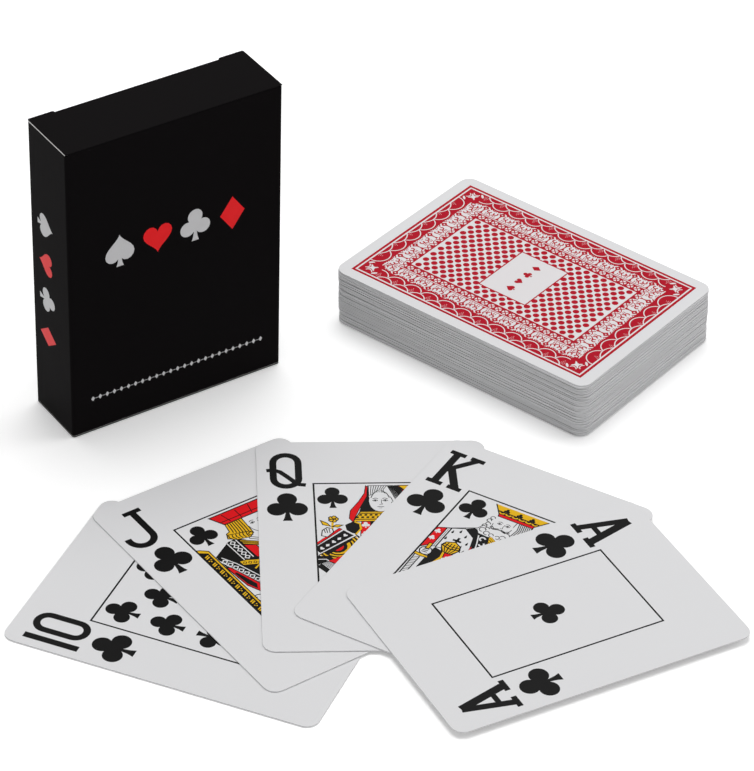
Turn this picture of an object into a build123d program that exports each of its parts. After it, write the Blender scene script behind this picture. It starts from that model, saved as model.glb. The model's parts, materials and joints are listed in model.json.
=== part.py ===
# A deck of playing cards laid out on a table: the tuck carton stands closed, forty-nine
# cards lie face down in a stack, and the ten, jack, queen, king and ace of clubs lie face
# up in a fan. Millimetres, +Z up. The origin is the centre of the carton's underside, the
# carton's front panel faces -Y, and every piece is written where it lies.
import os
from math import sin, sqrt

from build123d import *

# Cards
card_width = 63.0
card_length = 88.0
card_thickness = 0.30
card_corner = 3.5
card_gap = 0.07  # air under each card that lies loose on another

# Carton: its board, and the room that it leaves round the squared deck
board = 0.45
deck_room_across = 3.1
deck_room_deep = 3.4
deck_room_above = 3.08
fold_radius = 0.8  # outside of the upright folds
crease_gap = 0.12  # play at a hinged crease, and under the lid

# Lid and its tuck tab
slit_length = 8.0  # cut at each end of the tab's crease
shoulder_radius = 0.6  # corners of the lid beside the slits
wall_gap = 0.25  # tab to rear panel
deck_gap = 0.20  # tab's tip to the deck that the carton holds
tab_side_gap = 0.40  # tab to the side panels
tab_corner = 7.0

# Dust flaps under the lid
flap_length = 15.0
flap_taper = 10.0  # length over which the rear edge slopes away from the tab
flap_front_gap = 0.30
flap_tab_gap = 0.60
flap_corner = 3.0

# Glued seam, glued bottom and thumb notch
seam_width = 14.0
seam_top_inset = 8.0
seam_bottom_gap = 1.0  # above the bottom's tuck
seam_taper = 3.0
glue_gap = 0.05
bottom_flap_length = 16.0
bottom_tuck_height = 10.0
notch_radius = 10.0

# Stack: three packets from the bottom up, each shifted a little across the stack
stack_centre = (101.5, -32.5)
stack_turn = 18.5
packet_counts = (12, 26)  # the top packet holds the rest
packet_shifts = (0.45, 0.0, -0.40)
stack_stray = 0.12  # how far a card strays from its packet
stack_twist = 0.25  # how far a card turns, in degrees

# Fan: the cards lie round the pivot, from the ten to the ace
fan_pivot = (-14.7, -134.0)
fan_radius = 49.0  # pivot to the cards' centres, along the cards
fan_offset = 2.5  # pivot to the cards' centres, across the cards
fan_turn = -30.5  # direction of the middle card
fan_step = 32.5

ranks = ("ace", "two", "three", "four", "five", "six", "seven", "eight", "nine", "ten",
         "jack", "queen", "king")
suits = ("clubs", "diamonds", "hearts", "spades")
jokers = ("black", "red")
fan_cards = [f"card_{rank}_of_clubs" for rank in ("ten", "jack", "queen", "king", "ace")]

# Worked out from the sizes above
deck_size = len(ranks) * len(suits) + len(jokers)
deck_thickness = deck_size * card_thickness
carton_width = card_width + deck_room_across + 2 * board
carton_depth = deck_thickness + deck_room_deep + 2 * board
# two boards under the deck, the dust flaps and the lid above it
carton_height = card_length + deck_room_above + 4 * board + crease_gap
front = -carton_depth / 2
rear = carton_depth / 2
side = carton_width / 2
sleeve_top = carton_height - board - crease_gap
crease_half = side - slit_length
tab_outer = carton_depth - board - wall_gap  # radii of the tab about the lid's crease
tab_inner = tab_outer - board
tab_root = front + tab_outer
# the tab ends where its arc would meet a deck that lies against the front panel
tab_drop = sqrt(tab_inner**2 - (board + deck_thickness + deck_gap) ** 2)


def upright(outline, width):
    # a prism along X from an outline drawn in (y, z), centred on x = 0
    return extrude(Plane.YZ * make_face(outline), width / 2, both=True)


def on_tab_arc(radius, drop):
    # the point of an arc about the lid's crease that lies drop below the lid's top
    return (front + sqrt(radius**2 - drop**2), carton_height - drop)


def box_sleeve():
    walls = extrude(
        RectangleRounded(carton_width, carton_depth, fold_radius)
        - RectangleRounded(carton_width - 2 * board, carton_depth - 2 * board, fold_radius - board),
        sleeve_top - board,
    )
    # the front panel runs on up to the lid's crease, cut back at 45 degrees
    lip = Polyline(
        (front, sleeve_top - board),
        (front, carton_height - crease_gap),
        (front + board, sleeve_top),
        (front + board, sleeve_top - board),
        close=True,
    )
    # the blank's glue flap, inside the left panel from the rear corner
    seam_foot = board + bottom_tuck_height + seam_bottom_gap
    seam_head = sleeve_top - seam_top_inset
    seam = Polyline(
        (rear - board, seam_foot),
        (rear - board, seam_head),
        (rear - board - seam_width, seam_head - seam_taper),
        (rear - board - seam_width, seam_foot + seam_taper),
        close=True,
    )
    sleeve = Pos(0, 0, board) * walls
    sleeve += upright(lip, carton_width - 2 * fold_radius)
    sleeve += Pos(-side + 1.5 * board, 0, 0) * upright(seam, board)
    notch = Rot(90, 0, 0) * Cylinder(notch_radius, 3 * board)
    return sleeve - Pos(0, rear - board / 2, sleeve_top) * notch


def box_bottom():
    # outer panel, the two flaps glued on it, and the tuck inside the rear panel
    inside_width = carton_width - 2 * board
    tuck_y = rear - 1.5 * board - glue_gap
    flap_depth = tuck_y - board / 2 - (front + board) - 2 * glue_gap
    bottom = extrude(RectangleRounded(carton_width, carton_depth, fold_radius), board)
    flap = extrude(RectangleRounded(bottom_flap_length, flap_depth, fold_radius), board)
    for way in (-1, 1):
        flap_x = way * (inside_width / 2 - glue_gap - bottom_flap_length / 2)
        bottom += Pos(flap_x, front + board + glue_gap + flap_depth / 2, board) * flap
    tuck = Box(inside_width - 2 * tab_side_gap, board, bottom_tuck_height)
    bottom += Pos(0, tuck_y, board + bottom_tuck_height / 2) * tuck
    return bottom


def lid_panel():
    # between the slits the lid ends at the tab's crease, beside them it covers the rear panel
    under = carton_height - board
    crease_outline = Polyline(
        (front, carton_height),
        (tab_root, carton_height),
        (tab_root - board, under),
        (front + board, under),
        close=True,
    )
    end_outline = Polyline(
        (front, carton_height),
        (rear, carton_height),
        (rear, under),
        (front + board, under),
        close=True,
    )
    lid = upright(crease_outline, 2 * crease_half)
    for way in (-1, 1):
        lid += Pos(way * (side - slit_length / 2), 0, 0) * upright(end_outline, slit_length)
    corners = lid.edges().filter_by(Axis.Z).group_by(Axis.Y)[-1]
    return fillet(corners, shoulder_radius)


def tuck_tab():
    # an arc about the lid's crease, so that it leaves the carton along its own curve
    outer_top = on_tab_arc(tab_outer, crease_gap)
    inner_top = on_tab_arc(tab_inner, board + crease_gap)
    outer_tip = on_tab_arc(tab_outer, tab_drop * tab_outer / tab_inner)
    inner_tip = on_tab_arc(tab_inner, tab_drop)
    half_drop = tab_drop / 2
    outline = [
        ThreePointArc(outer_top, on_tab_arc(tab_outer, half_drop), outer_tip),
        Line(outer_tip, inner_tip),
        ThreePointArc(inner_tip, on_tab_arc(tab_inner, half_drop), inner_top),
        Line(inner_top, outer_top),
    ]
    tab_width = carton_width - 2 * (board + tab_side_gap)
    tab = upright(outline, tab_width)
    # seen from the front: full width under the slits, rounded at the lower corners
    height = outer_top[1] - outer_tip[1]
    shape = extrude(
        Plane.XZ * Pos(0, outer_tip[1] + height / 2) * Rectangle(tab_width, height),
        carton_depth,
        both=True,
    )
    low_corners = shape.edges().filter_by(Axis.Y).group_by(Axis.Z)[0]
    tab = tab & fillet(low_corners, tab_corner)
    slit = Box(slit_length, carton_depth, 2 * board)
    for way in (-1, 1):
        tab -= Pos(way * (crease_half + slit_length / 2), tab_root, carton_height - crease_gap) * slit
    return tab


def dust_flap(way):
    # drawn flat from its crease inwards, with a rear edge that slopes clear of the tab
    crease_x = side - board - crease_gap
    crease_rear = on_tab_arc(tab_inner, board + crease_gap)[0] - flap_tab_gap
    free_rear = on_tab_arc(tab_inner, tab_drop)[0] - flap_tab_gap
    flap_front = front + board + flap_front_gap
    outline = Polyline(
        (crease_x, flap_front),
        (crease_x, crease_rear),
        (crease_x - flap_taper, free_rear),
        (crease_x - flap_length, free_rear),
        (crease_x - flap_length, flap_front),
        close=True,
    )
    flap = extrude(make_face(outline), board)
    free_corners = flap.edges().filter_by(Axis.Z).group_by(Axis.X)[0]
    flap = Pos(0, 0, sleeve_top - board) * fillet(free_corners, flap_corner)
    return flap if way > 0 else mirror(flap, Plane.YZ)


def playing_card():
    return extrude(RectangleRounded(card_width, card_length, card_corner), card_thickness)


def stack_cards():
    # from the bottom up: the jokers and each suit in order, without the cards of the fan
    names = [f"card_joker_{colour}" for colour in jokers]
    names += [f"card_{rank}_of_{suit}" for suit in suits for rank in ranks]
    return [name for name in names if name not in fan_cards]


def stack_places():
    total = deck_size - len(fan_cards)
    packets = zip([*packet_counts, total], packet_shifts)
    shifts = [shift for count, shift in packets for card in range(count)]
    for level, shift in enumerate(shifts[:total]):
        # three steps that never fall in line, so that no two cards stray alike
        across, along, twist = sin(2.4 * level), sin(4.1 * level + 1), sin(1.3 * level)
        stray = Pos(shift + stack_stray * across, stack_stray * along) * Rot(0, 0, stack_twist * twist)
        lift = level * (card_thickness + card_gap)
        yield Pos(*stack_centre, lift) * Rot(0, 0, stack_turn) * stray


def fan_places():
    middle = (len(fan_cards) - 1) / 2
    for level in range(len(fan_cards)):
        turn = Rot(0, 0, fan_turn + (middle - level) * fan_step)
        lift = level * (card_thickness + card_gap)
        yield Pos(*fan_pivot, lift) * turn * Pos(fan_offset, fan_radius)


def all_parts():
    parts = {
        "box_sleeve": box_sleeve(),
        "box_bottom": box_bottom(),
        "lid_panel": lid_panel(),
        "tuck_tab": tuck_tab(),
        "dust_flap_left": dust_flap(-1),
        "dust_flap_right": dust_flap(1),
    }
    card = playing_card()
    for name, place in zip(stack_cards() + fan_cards, [*stack_places(), *fan_places()]):
        parts[name] = place * card
    return parts


os.makedirs("parts", exist_ok=True)
for name, solid in all_parts().items():
    export_step(solid, f"parts/{name}.step")
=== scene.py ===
import json
import bpy
import bmesh
import numpy
from math import atan2, cos, floor, pi, radians, sin, sqrt
from mathutils import Matrix, Vector
from mathutils.geometry import delaunay_2d_cdt


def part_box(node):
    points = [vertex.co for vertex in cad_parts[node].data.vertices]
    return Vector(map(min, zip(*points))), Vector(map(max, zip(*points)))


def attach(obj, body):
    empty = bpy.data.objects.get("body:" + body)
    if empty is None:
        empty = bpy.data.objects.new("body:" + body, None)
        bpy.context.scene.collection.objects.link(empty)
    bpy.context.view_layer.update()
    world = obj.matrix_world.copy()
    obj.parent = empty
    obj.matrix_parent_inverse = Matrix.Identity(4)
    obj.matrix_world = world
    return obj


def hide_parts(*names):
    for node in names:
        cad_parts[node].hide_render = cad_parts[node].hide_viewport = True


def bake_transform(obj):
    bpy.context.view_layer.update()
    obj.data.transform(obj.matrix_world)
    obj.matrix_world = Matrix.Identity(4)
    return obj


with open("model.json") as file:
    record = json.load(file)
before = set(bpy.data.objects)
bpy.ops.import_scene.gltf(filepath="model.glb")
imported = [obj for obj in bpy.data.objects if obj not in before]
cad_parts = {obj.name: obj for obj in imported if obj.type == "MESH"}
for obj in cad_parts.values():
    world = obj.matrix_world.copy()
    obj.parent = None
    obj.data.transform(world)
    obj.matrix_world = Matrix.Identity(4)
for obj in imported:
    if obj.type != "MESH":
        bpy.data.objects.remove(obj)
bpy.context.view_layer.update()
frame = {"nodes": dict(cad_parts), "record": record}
nodes = frame["nodes"]
bodyOf = {node: body for body, members in frame["record"]["behaviour"]["bodies"].items() for node in members}
mm = 0.001
print("frame loaded:", len(nodes), "nodes")


# Shader maths: a socket that takes part in Python expressions
class Signal:
    def __init__(self, finish, socket):
        self.finish, self.socket = finish, socket

    def maths(self, operation, *values):
        node = self.finish.node("Math", {"operation": operation}, *values)
        return Signal(self.finish, node.outputs[0])

    __add__ = lambda self, other: self.maths("ADD", self, other)
    __radd__ = lambda self, other: self.maths("ADD", other, self)
    __mul__ = lambda self, other: self.maths("MULTIPLY", self, other)
    __rmul__ = lambda self, other: self.maths("MULTIPLY", other, self)


class Finish:
    # one material and its nodes
    def __init__(self, name):
        self.material = bpy.data.materials.new(name)
        self.start(self.material, "Principled BSDF")

    def start(self, owner, surface):
        owner.use_nodes = True
        self.tree = owner.node_tree
        self.surface = self.tree.nodes[surface]

    def plug(self, socket, value):
        if isinstance(value, Signal):
            self.tree.links.new(value.socket, socket)
        else:
            socket.default_value = value

    def node(self, kind, settings, *values, **named):
        made = self.tree.nodes.new("ShaderNode" + kind)
        for key, value in settings.items():
            setattr(made, key, value)
        for socket, value in zip(made.inputs, values):
            self.plug(socket, value)
        for key, value in named.items():
            self.plug(made.inputs[key], value)
        return made

    def signal(self, kind, settings, output, *values, **named):
        return Signal(self, self.node(kind, settings, *values, **named).outputs[output])

    def noise(self, scale, detail, stretch=(1, 1, 1)):
        place = self.signal("TexCoord", {}, "Object")
        place = self.signal("Mapping", {}, "Vector", Vector=place, Scale=stretch)
        return self.signal("TexNoise", {}, "Fac", Vector=place, Scale=scale, Detail=detail)

    def set(self, **sockets):
        for key, value in sockets.items():
            self.plug(self.surface.inputs[key.replace("_", " ")], value)

    def bump(self, height, strength, distance):
        return self.signal("Bump", {}, "Normal", Height=height, Strength=strength, Distance=distance)

    def seen(self):
        # 1 for what the camera sees, by itself or in a reflection or through a piece, else 0
        rays = self.node("LightPath", {})
        camera, glossy, clear = [Signal(self, rays.outputs[f"Is {kind} Ray"])
                                 for kind in ("Camera", "Glossy", "Transmission")]
        return camera.maths("MAXIMUM", camera.maths("MAXIMUM", camera, glossy), clear)


class Sky(Finish):
    # the light that comes from all round
    def __init__(self, name):
        self.world = bpy.data.worlds.new(name)
        self.start(self.world, "Background")


def addPiece(name, mesh, node):
    # puts a mesh in the place of one of the frame's nodes
    piece = bpy.data.objects.new(name, mesh)
    bpy.context.scene.collection.objects.link(piece)
    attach(piece, bodyOf[node])
    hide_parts(node)
    return piece


# Flat shapes: lists of points in millimetres
def circle(x, y, radius, points=16, tall=1.0):
    angles = [2 * pi * step / points for step in range(points)]
    return [(x + radius * cos(a), y + radius * tall * sin(a)) for a in angles]


def arc(x, y, radius, start, end, points=8, tall=1.0):
    angles = [radians(start + (end - start) * step / points) for step in range(points + 1)]
    return [(x + radius * cos(a), y + radius * tall * sin(a)) for a in angles]


def rectangle(halfWide, halfTall, x=0, y=0):
    return [(x - halfWide, y - halfTall), (x + halfWide, y - halfTall),
            (x + halfWide, y + halfTall), (x - halfWide, y + halfTall)]


def stroke(path, width, closed=False):
    # four-sided pieces along a path, mitred at its turns
    rails = []
    for index, (x, y) in enumerate(path):
        before = path[index - 1] if index or closed else None
        after = path[(index + 1) % len(path)] if index + 1 < len(path) or closed else None
        ways = [Vector((x, y)) - Vector(before)] if before else []
        ways += [Vector(after) - Vector((x, y))] if after else []
        ways = [way.normalized() for way in ways]
        along = sum(ways, Vector((0, 0))).normalized()
        half = width / 2 / max(along.dot(ways[0]), 0.4)
        rails.append(((x - along.y * half, y + along.x * half), (x + along.y * half, y - along.x * half)))
    pairs = list(zip(rails, rails[1:] + rails[:1]))
    return [[a[0], b[0], b[1], a[1]] for a, b in (pairs if closed else pairs[:-1])]


def placed(shapes, x=0, y=0, turn=0, size=1):
    c, s = cos(radians(turn)) * size, sin(radians(turn)) * size
    move = lambda px, py: (x + c * px - s * py, y + s * px + c * py)
    return [[move(*point) for point in shape] for shape in shapes]


class Print:
    # inks laid on one side of a piece, later ones over earlier ones
    def __init__(self):
        self.layers = []

    def lay(self, ink, shapes):
        self.layers += [(ink, shape) for shape in shapes]

    def add(self, other, **move):
        self.layers += [(ink, placed([shape], **move)[0]) for ink, shape in other.layers]

    def cells(self, outline):
        # the outline cut into triangles, each with the ink that lies on top at its middle
        shapes = [outline] + [shape for ink, shape in self.layers]
        points, edges = [], []
        for shape in shapes:
            start, count = len(points), len(shape)
            points += [Vector(point) for point in shape]
            edges += [(start + step, start + (step + 1) % count) for step in range(count)]
        corners, _, triangles = delaunay_2d_cdt(points, edges, [], 0, 1e-4, False)[:3]
        corners, triangles = numpy.array(corners), numpy.array(triangles)
        middles = corners[triangles].mean(axis=1)
        top = numpy.full(len(triangles), -1)
        for index, shape in enumerate(shapes):
            low, high = numpy.min(shape, axis=0), numpy.max(shape, axis=0)
            near = numpy.nonzero(((middles >= low) & (middles <= high)).all(axis=1))[0]
            x, y = middles[near].T
            inside = numpy.zeros(len(near), bool)
            for (ax, ay), (bx, by) in zip(shape, shape[1:] + shape[:1]):
                if ay != by:
                    inside ^= ((ay > y) != (by > y)) & (x < ax + (y - ay) / (by - ay) * (bx - ax))
            hit = near[inside]
            top[hit if index == 0 else hit[top[hit] >= 0]] = index
        inks = ["stock"] + [ink for ink, shape in self.layers]
        pairs = zip(triangles.tolist(), top.tolist())
        kept = [(triangle, inks[index]) for triangle, index in pairs if index >= 0]
        return [tuple(corner) for corner in corners.tolist()], kept


# Suit signs, 11 mm across
signRow = ("spades", "hearts", "clubs", "diamonds")


def heartOutline(way):
    angles = [2 * pi * (step + 0.5) / 30 for step in range(30)]
    wave = lambda a: 13 * cos(a) - 5 * cos(2 * a) - 2 * cos(3 * a) - cos(4 * a)
    return [(5.3 * sin(a) ** 3, way * (0.355 * wave(a) + 0.6)) for a in angles]


def suitSign(suit):
    if suit == "diamonds":
        quarter = [(4.6, 0), (3.0, 2.15), (1.55, 4.2), (0, 6.3)]
        upper = quarter + [(-x, y) for x, y in quarter[-2::-1]]
        return [upper + [(x, -y) for x, y in upper[-2:0:-1]]]
    if suit == "hearts":
        return [heartOutline(1)]
    stem = [(-0.45, 0.5), (-0.55, -2.4), (-0.85, -4.3), (-1.35, -5.75),
            (1.35, -5.75), (0.85, -4.3), (0.55, -2.4), (0.45, 0.5)]
    if suit == "spades":
        return placed([heartOutline(-1)], y=0.9) + [stem]
    lobes = [circle(x, y, 2.72, 24) for x, y in ((0, 3.45), (-2.82, -0.75), (2.82, -0.75))]
    return lobes + [rectangle(1.3, 1.9, 0, 0.4), stem]


# Index letters and numbers, 15.4 mm tall
def letterStrokes(rank):
    serif = lambda x, y, half: stroke([(x - half, y), (x + half, y)], 1.6)
    oval = lambda x, y, radius: stroke(arc(x, y, radius, 0, 180, 12) + arc(x, -y, radius, 180, 360, 12), 1.95,
                                       closed=True)
    if rank == "ace":
        legs = stroke([(-0.15, 7.3), (-3.55, -6.9)], 2.05) + stroke([(0.15, 7.3), (3.45, -6.9)], 2.45)
        bar = stroke([(-2.7, -2.6), (2.6, -2.6)], 1.6)
        return legs + bar + serif(-3.4, -6.95, 2.05) + serif(3.35, -6.95, 2.1)
    if rank == "king":
        arms = stroke([(-3.0, -1.5), (3.0, 6.7)], 1.8) + stroke([(-1.6, 0.6), (3.4, -6.9)], 2.3)
        ends = serif(-2.9, 7.0, 2.35) + serif(-2.9, -7.0, 2.35) + serif(3.1, 7.0, 2.1) + serif(3.2, -7.0, 2.1)
        return stroke([(-2.95, 7.0), (-2.95, -7.0)], 2.15) + arms + ends
    if rank == "queen":
        tail = [(-5.3, 0.1), (-3.4, 0.35), (-1.6, -0.5), (0.2, -2.5), (2.2, -4.9), (3.6, -6.1), (5.3, -6.35)]
        return oval(0, 3.45, 3.45) + stroke(tail, 1.5)
    if rank == "jack":
        hook = [(1.9, 7.0), (1.9, -3.4)] + arc(-1.65, -3.4, 3.55, 0, -180, 12)[1:] + [(-5.15, -2.4)]
        return stroke(hook, 2.0) + serif(1.9, 6.9, 2.7)
    if rank == "ten":
        return oval(2.15, 4.0, 2.95) + stroke([(-4.35, 7.75), (-4.35, -7.75)], 2.05)
    paths = {
        "two": arc(0, 3.5, 3.6, 170, -35, 12) + [(-3.9, -6.9), (4.3, -6.9)],
        "three": arc(-0.3, 3.6, 3.3, 155, -75, 10) + arc(-0.3, -3.2, 3.8, 80, -155, 12),
        "four": [(2.0, -7.7), (2.0, 7.0), (-4.4, -3.3), (4.6, -3.3)],
        "five": [(3.5, 6.9), (-2.7, 6.9), (-3.3, 1.0)] + arc(-0.1, -2.8, 4.1, 118, -150, 12),
        "six": [(2.6, 7.2), (-1.6, 3.4), (-3.6, -0.6)] + arc(0, -3.3, 3.7, 170, 530, 20),
        "seven": [(-4.2, 6.9), (4.0, 6.9), (-1.4, -7.7)],
        "eight": arc(0, 3.9, 3.1, -90, 270, 18) + arc(0, -3.3, 3.8, 90, -270, 20)[1:],
    }
    if rank == "nine":
        return placed(stroke(paths["six"], 2.0), turn=180)
    return stroke(paths[rank], 2.0)


# Printed back, depths measured inwards from the outer red line
cardBack = {
    "half": (28.05, 40.35),  # outer red line
    "line": (0.8, 1.3),  # inner edges of the red and the white line
    # for each side: scales, what its length is cut by, then radius and depth of its scales and scallops
    "shortSide": (6, 14.7, (3.7, 1.45), (4.1, -1.3)),
    "longSide": (12, 9.8, (3.15, 2.3), (3.0, 0.1)),
    "laceDepth": 9.45,
    "discs": (13, 26),
    "field": (15.2, 28.7),
    "dotPitch": (3.5, 3.0),
    "dotRadius": 0.96,
    "discRing": (1.57, 1.4),  # how far outside the field the discs lie
    "label": (10.15, 7.95),
    "labelSigns": (4.1, 0.24),  # pitch and size
}


def sideLayers(length, count, cut, scale, scallop, fine):
    # one side of the scale border, drawn with u along the side and depth inwards
    side, pitch = Print(), (length - cut) / count
    steps = 16 if fine else 7
    middles = [(step - (count - 1) / 2) * pitch for step in range(count)]
    joints = [(step - count / 2) * pitch for step in range(count + 1)]
    radius, depth = scale
    for u in middles:
        if fine:
            reaches = [radius + (1.15 if step % 2 else 0.6) for step in range(39)]
            teeth = [(reach, radians(5 + 170 * step / 38)) for step, reach in enumerate(reaches)]
            side.lay("red", [[(u + reach * cos(a), depth + reach * sin(a)) for reach, a in teeth]])
            ticks = [rectangle(0.13, 0.42, u + shift, 8.75) for shift in (-1.6, -1.0, 1.0, 1.6)]
            side.lay("red", ticks + [rectangle(0.15, 0.3, u, 9.0)])
            for way in (-1, 1):
                ring = [(u + way * (1.12 + x), 7.35 + y) for x, y in arc(0, 0, 0.62, -70, 200, 8)]
                side.lay("red", stroke(ring, 0.42))
                side.lay("red", stroke([(u + way * 0.85, 7.95), (u + way * 0.2, 8.7)], 0.4))
                side.lay("red", [[(u + way * 0.55, 6.3), (u + way * 0.1, 6.75), (u + way * 0.1, 6.35)]])
    for u in joints[1:-1]:
        diamond = [(u - 1.05, 6.6), (u, 5.45), (u + 1.05, 6.6), (u, 7.7)]
        stem = [(u - 0.3, 7.2), (u + 0.3, 7.2), (u + 0.16, 8.4),
                (u + 0.5, 9.5), (u - 0.5, 9.5), (u - 0.16, 8.4)]
        side.lay("red", [diamond, stem])
        if fine:
            side.lay("paper", [rectangle(0.2, 0.2, u, 6.6)])
            side.lay("red", stroke([(u - 1.75, 6.35), (u, 4.5), (u + 1.75, 6.35)], 0.34))
    for u in middles:
        if fine:
            side.lay("red", [arc(u, depth, radius + 0.15, 4, 176, steps)])
        side.lay("paper", [arc(u, depth, radius, -3, 183, steps)])
        side.lay("red", [arc(u, depth, radius - 0.32, -3, 183, steps)])
        if fine:
            dots = [(u + 0.5 * (column - row / 2), depth + 1.35 - 0.52 * row)
                    for row in range(4) for column in range(row + 1)]
            side.lay("blush", [rectangle(0.13, 0.13, x, y) for x, y in dots])
    radius, depth = scallop
    reach = 0.5 * pitch - 0.15
    fall = 180 / pi * atan2(reach, sqrt(radius**2 - reach**2))
    for u in joints[1:-1]:
        side.lay("paper", [arc(u, depth, radius, 90 - fall, 90 + fall, steps)])
        side.lay("red", [arc(u, depth, radius - 0.32, 90 - fall, 90 + fall, steps)])
    return side


def backPrint(fine):
    halfWide, halfTall = cardBack["half"]
    redLine, whiteLine = cardBack["line"]
    lace = cardBack["laceDepth"]
    back = Print()
    for ink, depth in (("red", 0), ("paper", redLine), ("red", whiteLine), ("paper", 5.6), ("red", lace),
                       ("paper", lace + 0.25), ("red", lace + 0.55)):
        back.lay(ink, [rectangle(halfWide - depth, halfTall - depth)])
    short = sideLayers(2 * halfWide, *cardBack["shortSide"], fine)
    long = sideLayers(2 * halfTall, *cardBack["longSide"], fine)
    for turn, way in ((0, 1), (180, -1)):
        back.add(short, turn=turn, y=-way * halfTall)
        back.add(long, turn=turn + 90, x=way * halfWide)
    # the lines that bound the border come back over what the scallops left outside them
    for ink, outer, inner in (("red", 0, redLine), ("paper", redLine, whiteLine)):
        for x, y, wide, tall in ((0, 1, halfWide - outer, 0), (1, 0, 0, halfTall - outer)):
            middle, half = (outer + inner) / 2, (inner - outer) / 2
            for way in (-1, 1):
                middleX, middleY = way * x * (halfWide - middle), way * y * (halfTall - middle)
                back.lay(ink, [rectangle(wide or half, tall or half, middleX, middleY)])
    # a star and leaves in each corner
    corner = Print()
    corner.lay("red", [rectangle(2.9, 2.9, -4.2, -4.2)])
    petal = circle(0, 0, 0.34, 8, 5.2)
    corner.lay("paper", placed([petal], -4.35, -4.35, 45) + placed([petal], -4.35, -4.35, -45))
    corner.lay("paper", [circle(-4.35, -4.35, 0.75, 8)])
    if fine:
        leaf = circle(0, 0, 0.38, 8, 2.6)
        corner.lay("paper", placed([leaf], -6.35, -2.5, -45) + placed([leaf], -2.5, -6.35, -45))
        corner.lay("paper", stroke(arc(-4.35, -2.1, 1.1, 200, 340, 6), 0.3))
        corner.lay("paper", stroke(arc(-2.1, -4.35, 1.1, 110, 250, 6), 0.3))
    for x, y in ((-1, -1), (-1, 1), (1, -1), (1, 1)):
        back.layers += [(ink, [(x * (halfWide + px), y * (halfTall + py)) for px, py in shape])
                        for ink, shape in corner.layers]
    # a row of white discs, each parted by a red cross
    field, outside = cardBack["field"], cardBack["discRing"]
    ringWide, ringTall = field[0] + outside[0], field[1] + outside[1]
    across, along = cardBack["discs"]
    spots = []
    for way in (-1, 1):
        spots += [(ringWide * (2 * step / (across - 1) - 1), way * ringTall) for step in range(across)]
        spots += [(way * ringWide, ringTall * (2 * step / (along - 1) - 1)) for step in range(1, along - 1)]
    for x, y in spots:
        back.lay("paper", [circle(x, y, 0.98, 12) if fine else rectangle(0.7, 0.7, x, y)])
        if fine:
            back.lay("red", placed([rectangle(0.16, 1.0), rectangle(1.0, 0.16)], x, y, 45))
            back.lay("red", [circle(x, y, 0.26, 6)])
    back.lay("paper", [rectangle(*field)])
    # rows of dots, every other one shifted by half a pitch; the outermost are cut by the field's edge
    pitchX, pitchY = cardBack["dotPitch"]
    radius = cardBack["dotRadius"]
    rows = floor(2 * (field[1] - radius) / pitchY)
    for row in range(-rows, rows + 1):
        for column in range(-9, 10):
            x, y = column * pitchX / 2, row * pitchY / 2
            if (row + column) % 2 or abs(x) > field[0] + radius * 0.4:
                continue
            dot = circle(x, y, radius, 12 if fine else 6)
            back.lay("red", [[(max(-field[0], min(field[0], px)), py) for px, py in dot]])
    label = cardBack["label"]
    back.lay("red", [rectangle(label[0] + 0.4, label[1] + 0.4)])
    back.lay("paper", [rectangle(*label)])
    pitch, size = cardBack["labelSigns"]
    for step, suit in enumerate(signRow):
        back.lay("red", placed(suitSign(suit), pitch * (step - 1.5), size=size))
    return back


# Printed faces
cardFace = {
    "frame": (16.15, 25.45),  # half sizes of the thin frame
    "frameLine": 0.5,
    "courtWeight": 1.55,  # thickens every line of the court figures
    "letter": (-23.5, 31.2),
    "letterSign": (-23.5, 15.2),
    "pipColumn": 9.5,
    "pipRows": (19.3, 12.6, 6.45, 0),
}
signInk = {"clubs": "ink", "spades": "ink", "hearts": "red", "diamonds": "red"}
pipNames = ("ace", "two", "three", "four", "five", "six", "seven", "eight", "nine", "ten")
pipCounts = {name: count + 1 for count, name in enumerate(pipNames)}


def pipSpots(rank):
    column = cardFace["pipColumn"]
    top, high, near, centre = cardFace["pipRows"]
    count = pipCounts.get(rank, 0)
    pairs = [(column, top)] * (count > 3) + [(column, near)] * (count > 8)
    spots = [(way * x, tall * y) for x, y in pairs for way in (-1, 1) for tall in (-1, 1)]
    spots += [(-column, centre), (column, centre)] * (count in (6, 7, 8))
    spots += [(0, top), (0, -top)] * (count in (2, 3))
    spots += [(0, centre)] * (count in (1, 3, 5, 9))
    return spots + [(0, high)] * (count in (7, 8, 10)) + [(0, -high)] * (count in (8, 10))


# Court figures: upper halves drawn on squares of a twentieth of a millimetre, across and down
def drawn(*numbers):
    return [(a / 20 - 17.33, 26.5 - b / 20) for a, b in zip(numbers[::2], numbers[1::2])]


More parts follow.
